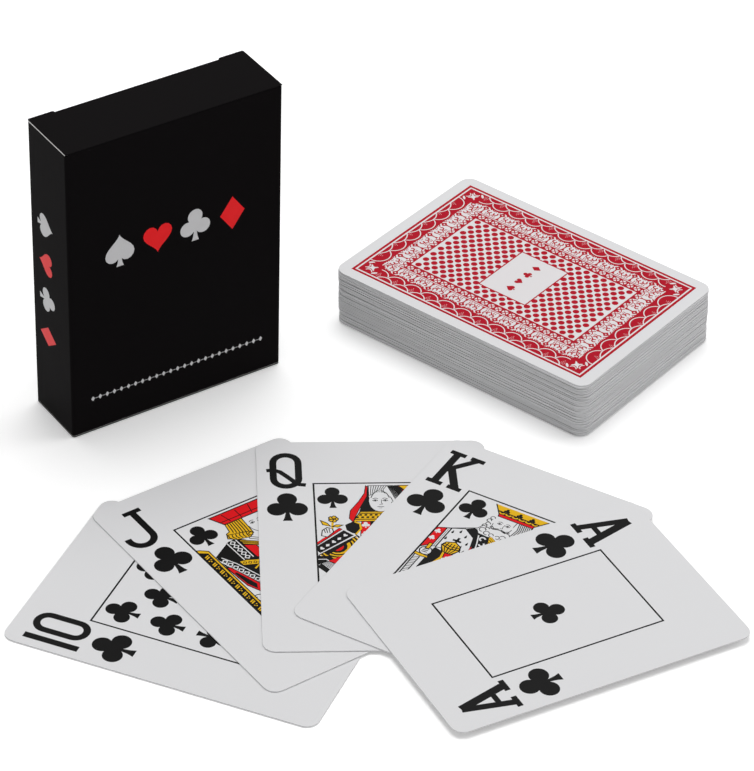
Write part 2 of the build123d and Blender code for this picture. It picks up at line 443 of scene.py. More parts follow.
class Figure(Print):
    def pens(self):
        return self.fill, self.draw, self.ring, self.disc, self.hatch

    def fill(self, ink, *numbers, line=0):
        self.lay(ink, [drawn(*numbers)])
        if line:
            self.lay("ink", stroke(drawn(*numbers), line * cardFace["courtWeight"], closed=True))

    def draw(self, ink, width, *numbers):
        self.lay(ink, stroke(drawn(*numbers), width * cardFace["courtWeight"]))

    def ring(self, ink, width, a, b, radius, start=0, end=360, points=8):
        (x, y), = drawn(a, b)
        self.lay(ink, stroke(arc(x, y, radius / 20, start, end, points), width * cardFace["courtWeight"]))

    def disc(self, ink, a, b, radius, points=10):
        (x, y), = drawn(a, b)
        self.lay(ink, [circle(x, y, radius / 20, points)])

    def sign(self, ink, suit, a, b, size, turn=0):
        (x, y), = drawn(a, b)
        self.lay(ink, placed(suitSign(suit), x, y, turn, size / 220))

    def hatch(self, ink, width, begin, finish, count, sway=0):
        # lines spread evenly between two paths
        for step in range(count):
            share = step / (count - 1)
            path = [p + (q - p) * share for p, q in zip(begin, finish)]
            if sway:
                path = [value + (sway if index % 4 == 2 else 0) for index, value in enumerate(path)]
            self.draw(ink, width, *path)

    def chain(self, ink, ground, start, end, count, size):
        # a row of small squares standing on a corner, on a band of another ink
        for step in range(count):
            share = (step + 0.5) / count
            a, b = start[0] + (end[0] - start[0]) * share, start[1] + (end[1] - start[1]) * share
            self.fill(ink, a - size, b, a, b - size, a + size, b, a, b + size)
            small = size * 0.55
            self.fill(ground, a - small, b, a, b - small, a + small, b, a, b + small)

    def calmFace(self, a, b, wide):
        # an even, quiet face: eyes on the middle line, closed mouth
        (x, y), = drawn(a, b)
        face = Print()
        face.lay("stock", [circle(0, -0.08, 0.5, 20, 1.36)])
        face.lay("ink", stroke(arc(0, -0.08, 0.5, 180, 360, 14, 1.36), 0.035))
        for way in (-1, 1):
            # brow, upper lid, lower lid and eye
            for width, line in ((0.035, ((0.33, 0.13), (0.21, 0.19), (0.09, 0.15))),
                                (0.035, ((0.34, 0.01), (0.22, 0.08), (0.10, 0.02))),
                                (0.022, ((0.31, -0.01), (0.22, -0.035), (0.12, 0.0)))):
                face.lay("ink", stroke([(way * px, py) for px, py in line], width))
            face.lay("ink", [circle(way * 0.22, 0.02, 0.042, 8)])
        # nose, mouth and chin
        for width, line in ((0.028, [(0.06, 0.08), (0.045, -0.15), (0.09, -0.24), (-0.05, -0.26)]),
                            (0.034, [(-0.15, -0.42), (-0.04, -0.40), (0.04, -0.40), (0.15, -0.42)]),
                            (0.026, [(-0.07, -0.50), (0.07, -0.50)])):
            face.lay("ink", stroke(line, width))
        self.add(face, x=x, y=y, size=wide / 20)


def kingHalf(suit):
    king = Figure()
    fill, draw, ring, disc, hatch = king.pens()
    sign = king.sign
    # sword and hand at the left edge
    fill("stock", 34, 640, 96, 640, 96, 940, 72, 962, 44, 948, line=0.22)
    draw("ink", 0.2, 68, 650, 68, 955)
    for step in range(19):
        draw("ink", 0.13, 36, 668 + 15 * step, 66, 654 + 15 * step)
    # red lining, ermine and dark robe
    fill("bright", 24, 384, 76, 362, 76, 520, 24, 570, line=0.15)
    sign("stock", suit, 46, 412, 36)
    sign("stock", suit, 44, 476, 36)
    fill("ink", 76, 362, 100, 352, 100, 530, 76, 545)
    draw("stock", 0.2, 83, 362, 83, 535)
    draw("stock", 0.2, 92, 360, 92, 530)
    fill("stock", 100, 352, 165, 318, 238, 368, 268, 470, 272, 548, 230, 508, 100, 536, line=0.18)
    for a, b in ((118, 375), (155, 352), (198, 378), (232, 430), (215, 470), (110, 440), (245, 500)):
        fill("ink", a, b - 16, a + 8, b + 8, a + 1, b + 16, a - 7, b + 8)
    fill("ink", 165, 318, 205, 288, 300, 300, 335, 380, 358, 470, 352, 560, 318, 596, 292, 560, 262, 440,
         236, 368)
    fill("bright", 262, 430, 306, 552, 284, 556, 264, 520, line=0.12)
    for a, b, radius, start, end in ((284, 350, 15, 20, 270), (300, 392, 14, 200, 430),
                                     (318, 440, 15, 40, 290), (318, 492, 15, 220, 470),
                                     (326, 540, 13, 40, 300)):
        ring("stock", 0.3, a, b, radius, start, end, 7)
    draw("stock", 0.22, 250, 330, 276, 400, 300, 480, 322, 560)
    draw("ink", 0.2, 24, 384, 96, 352, 200, 288, 268, 250)
    # gold chevrons on the chest and below
    fill("gold", 305, 310, 392, 372, 500, 300, 470, 400, 420, 470, 372, 552, 352, 470, 330, 380)
    for step in range(9):
        b = 372 + 20 * step
        draw("ink", 0.17, 318 + 5 * step, b - 36, 392 - 3 * step, b + 12, 484 - 12 * step, b - 48)
    fill("ink", 300, 296, 392, 356, 500, 290, 500, 306, 392, 376, 300, 312)
    draw("gold", 0.3, 304, 306, 392, 366, 496, 300)
    fill("bright", 318, 270, 392, 330, 420, 296, 400, 270, line=0.12)
    # orb with its cross
    fill("ink", 168, 405, 182, 405, 182, 425, 200, 428, 200, 442, 182, 442, 182, 460, 168, 460, 168, 442,
         150, 442, 150, 428, 168, 425)
    fill("gold", 118, 500, 130, 470, 175, 448, 214, 470, 228, 500, 205, 552, 145, 552, line=0.22)
    hatch("ink", 0.2, (130, 468, 122, 510, 150, 550), (216, 468, 224, 510, 200, 550), 6)
    draw("ink", 0.28, 120, 500, 172, 514, 226, 500)
    draw("ink", 0.2, 124, 484, 172, 494, 222, 484)
    disc("stock", 266, 545, 20, 9)
    ring("ink", 0.18, 266, 545, 20)
    disc("ink", 266, 545, 8, 6)
    # sleeve: dark, gold edge, red band with signs, gold chevrons
    fill("ink", 100, 538, 152, 552, 168, 570, 160, 640, 120, 730, 96, 745, 96, 560)
    fill("gold", 152, 552, 166, 556, 176, 600, 164, 650, 124, 735, 98, 758, 98, 744, 122, 722, 150, 640,
         160, 600)
    fill("bright", 166, 556, 238, 548, 232, 620, 204, 700, 178, 790, 140, 800, 98, 770, 124, 735, 164, 650,
         176, 600, line=0.15)
    sign("stock", suit, 196, 602, 46)
    ring("stock", 0.3, 182, 680, 15)
    disc("stock", 182, 680, 6, 6)
    sign("stock", suit, 150, 748, 46)
    fill("gold", 238, 560, 262, 568, 304, 596, 290, 640, 250, 710, 210, 775, 196, 770, 208, 700, 234, 620,
         line=0.15)
    for step in range(9):
        b = 600 + 19 * step
        draw("ink", 0.17, 240 - 5 * step, b + 6, 258 - 5 * step, b - 14, 296 - 10 * step, b + 8)
    hatch("ink", 0.14, (150, 802, 140, 832), (206, 782, 178, 826), 7)
    # hand on the hilt
    disc("stock", 70, 590, 34, 12)
    ring("ink", 0.22, 70, 590, 34, 0, 360, 12)
    for step in range(3):
        draw("ink", 0.2, 52, 578 + 13 * step, 84, 572 + 14 * step)
    fill("gold", 26, 622, 104, 626, 108, 640, 60, 646, 26, 640, line=0.18)
    fill("gold", 56, 520, 76, 520, 78, 566, 58, 572, line=0.18)
    # head: hair, beard, face and crown
    fill("stock", 380, 130, 472, 128, 480, 200, 486, 246, 520, 250, 508, 290, 400, 312, 372, 250, line=0.15)
    hatch("ink", 0.17, (394, 132, 404, 190, 398, 250), (466, 130, 478, 190, 476, 248), 8, 3)
    for step in range(8):
        ring("ink", 0.14, 404 + 14 * step, 274 - 3 * step, 9, 0, 300, 6)
    for a, b in ((246, 160), (238, 188), (246, 216), (236, 240)):
        disc("stock", a, b, 15, 8)
        ring("ink", 0.15, a, b, 13, 0, 300, 7)
    king.calmFace(324, 190, 112)
    fill("stock", 214, 282, 232, 240, 262, 244, 324, 236, 388, 244, 402, 262, 380, 300, 340, 318, 324, 306,
         296, 318, 240, 314)
    curls = ((244, 276, 18, 0), (276, 292, 16, 20), (306, 296, 13, 0), (344, 298, 13, 250),
             (370, 286, 16, 240), (262, 256, 11, 0))
    for a, b, radius, start in curls:
        ring("ink", 0.15, a, b, radius, start, start + 285, 8)
    draw("ink", 0.16, 214, 282, 232, 240, 262, 246, 324, 236, 388, 244, 402, 262, 380, 300)
    for way in (-1, 1):  # moustache
        draw("ink", 0.17, 324 + 4 * way, 228, 324 + 34 * way, 236, 324 + 52 * way, 222)
        draw("ink", 0.17, 324 + 6 * way, 236, 324 + 36 * way, 246, 324 + 60 * way, 230)
    fill("gold", 205, 42, 526, 42, 474, 112, 258, 112)
    fill("ink", 236, 84, 494, 84, 474, 112, 258, 112)
    for a in (286, 364, 440):
        sign("ink", "clubs", a, 74, 36)
    for step in range(6):
        ring("gold", 0.3, 266 + 40 * step, 88, 17, 200, 340, 5)
    draw("ink", 0.22, 205, 42, 258, 114)
    draw("ink", 0.22, 526, 42, 474, 114)
    fill("bright", 256, 110, 474, 110, 468, 132, 262, 132, line=0.18)
    return king


def queenHalf(suit):
    queen = Figure()
    fill, draw, ring, disc, hatch = queen.pens()
    sign = queen.sign
    # gold and dark stripes of the gown, red front with signs
    fill("gold", 322, 350, 482, 350, 460, 420, 400, 520, 330, 600, 316, 520)
    hatch("ink", 0.34, (330, 352, 324, 450, 322, 560), (476, 352, 440, 450, 372, 560), 8)
    fill("ink", 318, 352, 338, 352, 330, 470, 330, 560, 310, 560)
    fill("bright", 272, 352, 320, 352, 316, 480, 306, 566, 262, 560, 262, 460, line=0.15)
    for b in (382, 462, 530):
        sign("stock", suit, 292 - (b - 382) * 0.07, b, 44)
    fill("bright", 284, 566, 330, 548, 330, 590, 268, 690, 232, 664, line=0.15)
    fill("ink", 268, 545, 318, 530, 330, 560, 276, 578)
    # far shoulder: red with signs, the veil's end and the dark edge of the hood
    fill("bright", 470, 350, 545, 338, 604, 372, 672, 396, 672, 500, 560, 470, 456, 424, line=0.15)
    sign("stock", suit, 524, 388, 40)
    sign("stock", suit, 596, 418, 40)
    fill("stock", 500, 262, 540, 232, 606, 296, 660, 366, 612, 376, 552, 330, line=0.14)
    hatch("ink", 0.13, (510, 262, 560, 322, 618, 374), (538, 238, 600, 296, 654, 362), 6)
    fill("ink", 536, 212, 566, 208, 636, 290, 672, 322, 672, 366, 640, 350, 596, 286)
    # collar in two rows of checks
    fill("gold", 268, 268, 496, 268, 545, 330, 536, 346, 478, 352, 226, 352, line=0.2)
    for row in range(2):
        for step in range(8):
            a = 262 + 28 * step - 18 * row
            b = 290 + 20 * row
            fill("ink", a, b, a + 15, b, a + 13, b + 14, a - 2, b + 14)
    draw("ink", 0.22, 256, 283, 490, 283)
    draw("ink", 0.22, 238, 334, 480, 334)
    # dark shoulder with gold piping
    fill("ink", 182, 380, 226, 352, 262, 362, 268, 410, 238, 458, 190, 440)
    draw("gold", 0.34, 234, 354, 262, 372, 266, 414, 236, 462)
    # ribbed sleeve
    fill("gold", 36, 628, 236, 464, 268, 500, 274, 560, 246, 640, 180, 690, 100, 692)
    for radius in (134, 112, 92, 72):
        ring("ink", 0.34, 140, 560, radius, -146, 48, 16)
    ring("stock", 0.16, 140, 560, 126, -146, 48, 16)
    disc("ink", 134, 562, 54, 14)
    disc("bright", 132, 564, 36, 12)
    fill("ink", 60, 614, 200, 496, 214, 512, 84, 632)
    # cuff: red edge, dark band with signs between white lines
    fill("stock", 26, 530, 160, 402, 240, 470, 40, 630, 26, 620)
    fill("bright", 26, 524, 150, 406, 164, 418, 26, 546, line=0.12)
    fill("ink", 26, 556, 172, 426, 224, 470, 40, 616, 26, 600)
    for step in range(5):
        cuffSign = "hearts" if step % 2 == 0 else "diamonds"
        sign("stock", cuffSign, 178 - 32 * step, 470 + 27 * step, 26, -40)
    draw("ink", 0.2, 32, 634, 240, 474)
    # hand with a flower
    fill("stock", 52, 470, 58, 424, 84, 402, 112, 410, 118, 440, 84, 482, line=0.2)
    for step in range(3):
        draw("ink", 0.16, 66 + 14 * step, 414 - 2 * step, 74 + 12 * step, 446)
    draw("gold", 0.4, 112, 410, 116, 350)
    fill("gold", 50, 340, 84, 362, 104, 392, 62, 378, line=0.18)
    fill("gold", 170, 382, 134, 378, 112, 394, 142, 400, line=0.18)
    for turn in range(5):
        disc("gold", 120 + 15 * cos(1.257 * turn), 330 + 15 * sin(1.257 * turn), 13, 8)
        ring("ink", 0.2, 120 + 15 * cos(1.257 * turn), 330 + 15 * sin(1.257 * turn), 13, 0, 360, 7)
    disc("ink", 120, 330, 7, 6)
    # hood, veil and hair
    fill("bright", 306, 44, 320, 60, 312, 130, 262, 250, 242, 306, 226, 358, 206, 326, 214, 260, 262, 180,
         296, 110, line=0.15)
    fill("ink", 312, 60, 322, 150, 350, 268, 262, 268, 272, 230, 306, 150)
    fill("bright", 462, 44, 504, 44, 592, 190, 560, 226, line=0.12)
    fill("ink", 446, 44, 480, 44, 568, 212, 540, 250, 470, 130)
    fill("stock", 316, 44, 452, 44, 486, 140, 540, 236, 512, 296, 470, 268, 440, 150, 400, 100, 318, 130,
         line=0.14)
    hatch("ink", 0.13, (322, 46, 320, 90, 320, 128), (420, 46, 400, 78, 400, 104), 8)
    hatch("ink", 0.13, (424, 48, 452, 130, 500, 282), (448, 46, 486, 140, 536, 240), 7)
    queen.calmFace(380, 176, 124)
    draw("ink", 0.16, 330, 150, 346, 112, 372, 84)
    draw("ink", 0.16, 430, 150, 418, 112, 386, 84)
    # crown
    fill("gold", 484, 44, 612, 44, 612, 110, 582, 184, 500, 76, line=0.2)
    for a, b in ((552, 90), (598, 128)):
        sign("ink", suit, a, b, 44, -30)
    draw("ink", 0.25, 492, 58, 586, 176)
    # foot of the sleeve
    fill("ink", 26, 640, 96, 640, 122, 690, 60, 706, 26, 712)
    draw("stock", 0.2, 26, 668, 70, 668, 104, 700)
    return queen


def jackHalf(suit):
    jack = Figure()
    fill, draw, ring, disc, hatch = jack.pens()
    chain = jack.chain
    # dark shoulder and red front
    fill("ink", 84, 336, 208, 264, 262, 262, 300, 300, 330, 480, 300, 560, 270, 640, 220, 720, 120, 640, 84,
         460)
    fill("bright", 264, 326, 322, 364, 322, 476, 270, 452, line=0.2)
    fill("bright", 214, 568, 276, 556, 282, 640, 226, 726, line=0.2)
    draw("ink", 0.4, 246, 560, 252, 690)
    # two chains of white squares
    fill("ink", 192, 268, 256, 262, 256, 440, 200, 470)
    draw("stock", 0.2, 196, 270, 200, 452)
    draw("stock", 0.2, 252, 264, 254, 440)
    chain("stock", "ink", (224, 268), (228, 440), 5, 19)
    fill("ink", 84, 364, 108, 352, 150, 440, 236, 700, 196, 760, 160, 640)
    draw("stock", 0.2, 84, 376, 166, 640, 196, 748)
    draw("stock", 0.2, 106, 356, 148, 440, 232, 704)
    chain("stock", "ink", (98, 376), (210, 730), 10, 20)
    # red wedge with a dark heart
    fill("bright", 84, 440, 104, 452, 164, 640, 130, 700, 96, 620, line=0.2)
    fill("ink", 94, 500, 108, 500, 146, 636, 128, 672, 104, 610)
    # gold bands with dark squares
    fill("gold", 168, 432, 206, 440, 320, 500, 346, 556, 312, 596, 262, 516, 170, 470, line=0.2)
    chain("ink", "gold", (176, 452), (300, 512), 5, 13)
    fill("gold", 318, 408, 372, 420, 450, 370, 420, 470, 340, 610, 300, 620, 322, 520, line=0.2)
    chain("ink", "gold", (346, 424), (318, 610), 7, 14)
    chain("ink", "gold", (396, 420), (362, 540), 5, 13)
    for a, b in ((205, 520), (222, 545)):
        fill("gold", a, b, a + 62, b - 26, a + 58, b - 12, a + 2, b + 16, line=0.15)
    # collar
    fill("gold", 266, 280, 404, 392, 506, 300, 500, 330, 404, 430, 268, 320, line=0.2)
    draw("ink", 0.2, 268, 294, 404, 406, 500, 314)
    draw("ink", 0.2, 268, 306, 404, 418, 500, 322)
    fill("stock", 330, 286, 400, 352, 484, 288, 486, 304, 402, 374, 322, 300, line=0.15)
    # hand and cuff at the staff
    fill("gold", 128, 700, 160, 688, 178, 740, 150, 790, line=0.2)
    draw("ink", 0.18, 136, 704, 150, 716, 140, 730, 156, 744, 146, 760, 158, 772)
    disc("stock", 92, 745, 34, 12)
    ring("ink", 0.2, 92, 745, 34, 0, 360, 12)
    ring("ink", 0.16, 92, 745, 18, 100, 300, 6)
    # staff
    fill("gold", 24, 236, 44, 242, 80, 272, 80, 936, 24, 936, line=0.2)
    fill("ink", 26, 258, 68, 286, 68, 930, 26, 930)
    for step in range(9):
        b = 300 + 72 * step
        for shift in (0, 14):
            draw("gold", 0.27, 34, b + shift + 10, 59, b + shift)
        for side, shift in ((38, 44), (53, 38), (47, 53)):
            disc("gold", side, b + shift, 4.5, 6)
    fill("bright", 24, 936, 92, 936, 60, 966, 24, 990, line=0.2)
    # hair, face, cap and feather
    fill("gold", 276, 126, 380, 126, 368, 270, 334, 292, 222, 242, 238, 204, 262, 196, line=0.18)
    hatch("ink", 0.21, (290, 130, 280, 200, 276, 214), (360, 130, 358, 200, 352, 262), 6)
    fill("gold", 222, 242, 236, 214, 300, 232, 356, 250, 368, 270, 334, 292, 262, 274, line=0.18)
    hatch("ink", 0.21, (240, 220, 234, 240, 246, 262), (336, 246, 330, 266, 332, 286), 6)
    ring("ink", 0.2, 352, 270, 13, 0, 300, 7)
    fill("gold", 480, 150, 506, 156, 540, 200, 520, 240, 530, 262, 490, 300, 470, 250, line=0.15)
    hatch("ink", 0.15, (486, 170, 490, 290), (530, 196, 522, 250), 5)
    jack.calmFace(436, 200, 122)
    fill("bright", 230, 42, 546, 42, 502, 132, 274, 132, line=0.24)
    for a in (320, 388, 456):
        draw("ink", 0.18, a - (388 - a) * 0.25, 52, a, 124)
    draw("ink", 0.18, 262, 106, 512, 106)
    fill("gold", 524, 92, 540, 78, 560, 110, 574, 138, 552, 132, 530, 118, line=0.16)
    return jack


def clipped(shape, normal):
    # the part of a shape on one side of a line through the card's centre
    kept = []
    for (ax, ay), (bx, by) in zip(shape, shape[1:] + shape[:1]):
        a, b = ax * normal[0] + ay * normal[1], bx * normal[0] + by * normal[1]
        if a >= 0:
            kept.append((ax, ay))
        if a * b < 0:
            kept.append((ax + (bx - ax) * a / (a - b), ay + (by - ay) * a / (a - b)))
    return kept


# who draws the upper half of each figure, and the direction that points into it from the dividing line
courtHalves = {
    "king": (kingHalf, (-0.845, 0.536)),
    "queen": (queenHalf, (-0.5, 0.866)),
    "jack": (jackHalf, (-0.845, 0.536)),
}


def courtPrint(rank, suit):
    draw, normal = courtHalves[rank]
    half, court = Print(), Print()
    half.layers = [(ink, clipped(shape, normal)) for ink, shape in draw(suit).layers]
    half.layers = [(ink, shape) for ink, shape in half.layers if len(shape) > 2]
    half.lay(signInk[suit], placed(suitSign(suit), -11.2, 19.1, size=0.75))
    court.add(half)
    court.add(half, turn=180)
    wide, tall = (value - cardFace["frameLine"] / 2 for value in cardFace["frame"])
    inside = lambda x, y: (max(-wide, min(wide, x)), max(-tall, min(tall, y)))
    court.layers = [(ink, [inside(*point) for point in shape]) for ink, shape in court.layers]
    return court


def starOutline(radius):
    points = [(radius if step % 2 == 0 else 0.42 * radius, radians(36 * step)) for step in range(10)]
    return [(reach * sin(a), reach * cos(a)) for reach, a in points]


def jokerPrint(colour):
    # a fool's cap of three horns with bells, over a band; stars stand for the index letters
    face, cap = Print(), Print()
    dark, light = ("ink", "grey") if colour == "black" else ("bright", "gold")
    for turn, ink in ((-58, dark), (58, dark), (0, light)):
        horn = [(-4.2, -1), (-3.9, 4), (-2.4, 8.5), (0, 12.5), (2.4, 8.5), (3.9, 4), (4.2, -1)]
        cap.lay(ink, placed([horn], turn=turn))
        cap.lay("ink", placed(stroke(horn, 0.3), turn=turn))
        bell = circle(0, 13.4, 1.7, 12)
        cap.lay("stock", placed([bell], turn=turn))
        cap.lay("ink", placed(stroke(bell, 0.3, closed=True) + [circle(0, 13.9, 0.4, 6)], turn=turn))
    cap.lay(light, [rectangle(6.4, 1.5, 0, -2)])
    cap.lay("ink", stroke(rectangle(6.4, 1.5, 0, -2), 0.35, closed=True))
    cap.lay(dark, [circle(2.4 * step, -2, 0.62, 8) for step in (-2, -1, 0, 1, 2)])
    letterX, letterY = cardFace["letter"]
    signX, signY = cardFace["letterSign"]
    for turn, way in ((0, 1), (180, -1)):
        face.lay(dark, placed([starOutline(5.6)], way * letterX, way * letterY, turn))
        face.add(cap, x=way * signX, y=way * (signY - 1.5), turn=turn, size=0.36)
        face.add(cap, x=0, y=way * 7, turn=turn, size=0.95)
    return face


def facePrint(rank, suit):
    if rank == "joker":
        return jokerPrint(suit)
    face = Print()
    wide, tall = cardFace["frame"]
    line = cardFace["frameLine"] / 2
    face.lay("ink", [rectangle(wide + line, tall + line)])
    face.lay("stock", [rectangle(wide - line, tall - line)])
    for x, y in pipSpots(rank):
        face.lay(signInk[suit], placed(suitSign(suit), x, y, 180 if y < 0 else 0, 0.8))
    if rank in courtHalves:
        face.add(courtPrint(rank, suit))
    for turn, way in ((0, 1), (180, -1)):
        for shapes, key in ((letterStrokes(rank), "letter"), (suitSign(suit), "letterSign")):
            x, y = cardFace[key]
            face.lay(signInk[suit], placed(shapes, way * x, way * y, turn))
    return face


# Card stock and inks: each has one colour, and its gloss varies with smears and a fine tooth
cardInks = {
    "stock": (0.69, 0.69, 0.70),
    "paper": (0.70, 0.68, 0.69),
    "blush": (0.62, 0.34, 0.36),
    "red": (0.40, 0.003, 0.016),
    "bright": (0.66, 0.008, 0.012),
    "ink": (0.005, 0.005, 0.005),
    "gold": (0.72, 0.42, 0.012),
    "grey": (0.34, 0.33, 0.33),
}


cardSurface = {
    "stockGloss": 0.14,
    "inkGloss": 0.07,
    "rough": (0.34, 0.16),  # the least, and what smears add to it
    "smear": 38,  # scales of the two noises
    "tooth": 2600,
    "toothDepth": (0.12, 0.00005),  # strength, and metres
}


def cardFinish(ink, colour):
    finish = Finish("card " + ink)
    gloss = cardSurface["stockGloss" if ink in ("stock", "paper") else "inkGloss"]
    least, more = cardSurface["rough"]
    tooth = finish.noise(cardSurface["tooth"], 2)
    smear = finish.noise(cardSurface["smear"], 3)
    finish.set(Base_Color=(*colour, 1), Roughness=least + more * smear, IOR=1.46,
               Specular_IOR_Level=gloss, Normal=finish.bump(tooth, *cardSurface["toothDepth"]))
    return finish.material


cardMaterials = {ink: cardFinish(ink, colour) for ink, colour in cardInks.items()}


def roundedOutline(halfWide, halfTall, radius, points=8):
    outline = []
    for quarter, (x, y) in enumerate(((1, 1), (-1, 1), (-1, -1), (1, -1))):
        start = 90 * quarter
        outline += arc(x * (halfWide - radius), y * (halfTall - radius), radius, start, start + 90, points)
    return outline


cardBody = {"half": (31.5, 44.0), "corner": 3.5, "thickness": 0.30, "edge": 0.06}
cardEdge = roundedOutline(*cardBody["half"], cardBody["corner"])
eased = [size - cardBody["edge"] for size in (*cardBody["half"], cardBody["corner"])]
cardSheet = roundedOutline(*eased)


def cardMesh(name, faceCells, backCells):
    # two printed sheets joined by a thin edge whose corners are eased
    thick, ease = cardBody["thickness"], cardBody["edge"]
    inks = list(cardInks)
    points, faces, slots = [], [], []
    rims = []
    for cells, height, way in ((faceCells, thick, 1), (backCells, 0, -1)):
        corners, triangles = cells
        start = len(points)
        points += [(way * x, y, height) for x, y in corners]
        faces += [[start + index for index in triangle] for triangle, ink in triangles]
        slots += [inks.index(ink) for triangle, ink in triangles]
        found = {(round(way * x, 3), round(y, 3)): start + index for index, (x, y) in enumerate(corners)}
        rims.append([found[(round(x, 3), round(y, 3))] for x, y in cardSheet])
    for height in (thick - ease, ease):
        rims.insert(-1, range(len(points), len(points) + len(cardEdge)))
        points += [(x, y, height) for x, y in cardEdge]
    for above, below in zip(rims, rims[1:]):
        for step in range(-len(cardEdge), 0):
            faces.append([above[step], below[step], below[step + 1], above[step + 1]])
            slots.append(inks.index("stock"))
    mesh = bpy.data.meshes.new(name)
    mesh.from_pydata([(x * mm, y * mm, z * mm) for x, y, z in points], [], faces)
    for ink in inks:
        mesh.materials.append(cardMaterials[ink])
    mesh.polygons.foreach_set("material_index", slots)
    mesh.shade_smooth()
    mesh.set_sharp_from_angle(angle=radians(30))
    mesh.validate()
    return mesh


def cardPlace(node, faceUp):
    # centre and direction of a card, from its widest side wall in the frame
    data = nodes[node].data
    walls = [face for face in data.polygons if abs(face.normal.z) < 0.1]
    across = max(walls, key=lambda face: face.area).normal.xy.normalized()
    across = across if across.x > across.y else -across
    along = Vector((-across.y, across.x))
    points = [vertex.co for vertex in data.vertices]
    level = min(point.z for point in points)
    centre = Vector((0, 0))
    for way in (across, along):
        reach = [point.xy.dot(way) for point in points]
        centre += way * (min(reach) + max(reach)) / 2
    turned = Matrix(((across.x, along.x, 0), (across.y, along.y, 0), (0, 0, 1))).to_4x4()
    if not faceUp:
        turned = turned @ Matrix.Rotation(pi, 4, "Y")
        level += cardBody["thickness"] * mm
    return Matrix.Translation((centre.x, centre.y, level)) @ turned


fanCards = [f"card_{rank}_of_clubs" for rank in ("ten", "jack", "queen", "king", "ace")]
cardNodes = [node for node in nodes if node.startswith("card_")]
topCard = max((node for node in cardNodes if node not in fanCards), key=lambda node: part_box(node)[1][2])
fineBack = backPrint(True).cells(cardSheet)
plainBack = backPrint(False).cells(cardSheet)
print("back:", len(fineBack[1]), "triangles, plain", len(plainBack[1]))
for node in cardNodes:
    words = node.split("_")
    face = facePrint(words[1], words[-1]).cells(cardSheet)
    mesh = cardMesh("printed_" + node, face, fineBack if node == topCard else plainBack)
    mesh.transform(cardPlace(node, node in fanCards))
    addPiece("printed_" + node, mesh, node)
print("cards:", len(cardNodes))


# Carton: printed board, raw where it is cut, pale inside
carton = {
    "half": (33.5, 10.25),
    "height": 93.0,
    "board": 0.45,
    "notch": 13.0,  # cut edges this far below the top and higher are raw
    "strip": 0.2,  # thickness of the strips that bend at the creases
    "ease": 0.07,  # eased cut edges
    "creaseGap": 0.12,  # play between the panels at a hinged crease
    "crease": 0.63,  # how far the panels are cut back at a crease, for the strip that bends there
    "tabCrease": (25.5, 9.55),  # half length, and distance behind the middle
    "flapCrease": (33.05, 92.455, -9.5, 8.4),  # distance beside the middle, height, front and rear ends
    "flapBend": ((0.25, 0.03), (0, 0), (-0.45, 0.02)),  # profile of the flaps' strips: aside and down
    "signRow": (57.0, 11.8, 0.85),  # height above the table, pitch and size of the signs on the front
    "sideRow": (45.0, 12.2, 0.68, -2.3),  # the same on the left side, and how far behind the middle
    "rule": (11.0, 27.0),  # height and half length of the row of small diamonds
    "print": (0.0052, 0.0045, 0.0048),
    "silver": (0.62, 0.62, 0.63),
    "red": (0.86, 0.004, 0.008),
    "inside": (0.60, 0.60, 0.58),
    "raw": (0.78, 0.78, 0.76),
    "fibre": 420,  # scales of the board's two noises
    "cloud": 26,
    "relief": 0.2,
}


def boardFinish(name, colour, rough, coarse, gloss=0.2):
    finish = Finish(name)
    fibre = finish.noise(carton["fibre"], 3, (1, 1, 0.35))
    cloud = finish.noise(carton["cloud"], 3)
    finish.set(Base_Color=(*colour, 1), Roughness=rough + 0.14 * cloud, IOR=1.5, Specular_IOR_Level=gloss,
               Normal=finish.bump(fibre + 0.6 * cloud, coarse, carton["relief"] * mm))
    return finish.material


boardMaterials = {
    "print": boardFinish("black print", carton["print"], 0.36, 0.10, gloss=0.008),
    "silver": boardFinish("silver ink", carton["silver"], 0.30, 0.08),
    "red": boardFinish("red ink", carton["red"], 0.32, 0.08),
    "inside": boardFinish("board inside", carton["inside"], 0.62, 0.25),
    "raw": boardFinish("cut board", carton["raw"], 0.75, 0.35),
}
boardSlots = list(boardMaterials)


def boardCopy(node, folds):
    # a clean copy of a piece of the carton; its edges on a fold are cut back, all others eased
    data = bmesh.new()
    data.from_mesh(nodes[node].data)
    bmesh.ops.remove_doubles(data, verts=data.verts, dist=1e-6)
    bmesh.ops.dissolve_limit(data, angle_limit=radians(1), verts=data.verts, edges=data.edges)
    middle = lambda edge: (edge.verts[0].co + edge.verts[1].co) / 2 / mm
    onFold = [edge for edge in data.edges if any(fold(middle(edge)) for fold in folds)]
    sizes = {"segments": 1, "affect": "EDGES", "clamp_overlap": True}
    if onFold:
        bmesh.ops.bevel(data, geom=onFold, offset=carton["crease"] * mm, **sizes)
    paired = [edge for edge in data.edges if len(edge.link_faces) == 2]
    sharp = [edge for edge in paired if edge.calc_face_angle() > radians(40)]
    bmesh.ops.bevel(data, geom=sharp, offset=carton["ease"] * mm, **sizes)
    bmesh.ops.dissolve_limit(data, angle_limit=radians(0.5), verts=data.verts, edges=data.edges)
    return data


